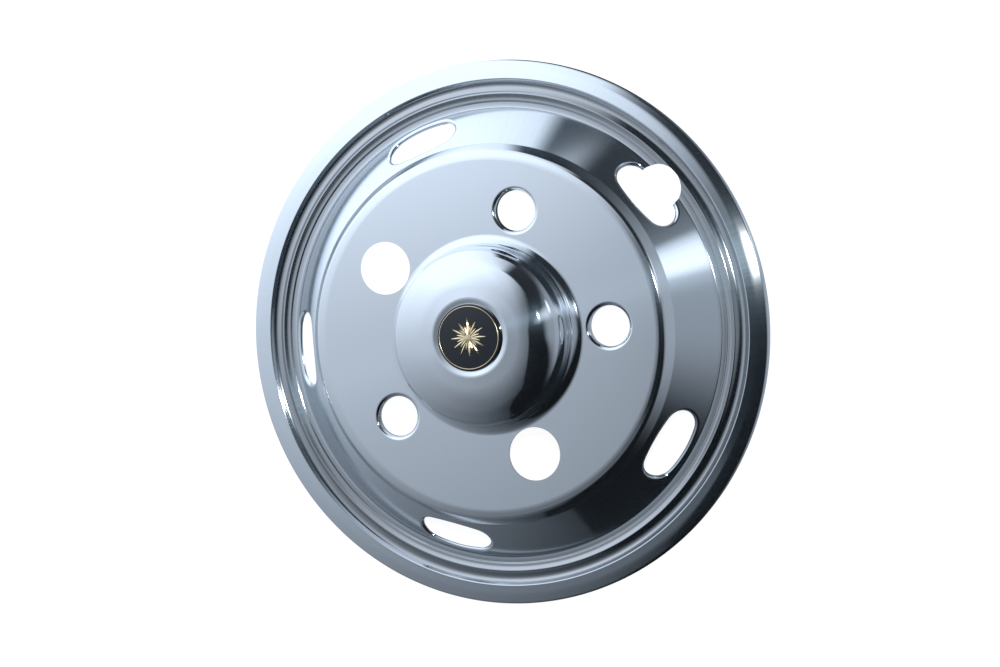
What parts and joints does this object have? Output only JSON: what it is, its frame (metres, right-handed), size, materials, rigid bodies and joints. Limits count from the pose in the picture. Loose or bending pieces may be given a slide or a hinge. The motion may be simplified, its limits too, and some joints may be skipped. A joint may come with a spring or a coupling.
{
  "type": "truck wheel simulator",
  "caption": "Mirror-polished dished liner that covers a truck wheel: flared lip, beaded ring, sloping wall with hand holes, flat stud disc and a hub dome with a round badge.",
  "frame": {"origin": "on the wheel axis, in the plane of the turned-back edge that rests on the ground", "axes": "+Z along the wheel axis, out of the wheel's front; +X through the middle of one drawn stud hole"},
  "size_m": [0.45, 0.45, 0.091],
  "materials": {
    "polished_stainless": "mirror-polished stainless steel with faint turned polishing marks",
    "black_enamel": "glossy black with a blue cast",
    "gilt": "pale gilt"
  },
  "bodies": {
    "root": {"wheel_liner": "polished_stainless", "badge_disc": "black_enamel", "badge_gilt_ring": "gilt", "badge_rosette": "gilt"}
  },
  "joints": []
}
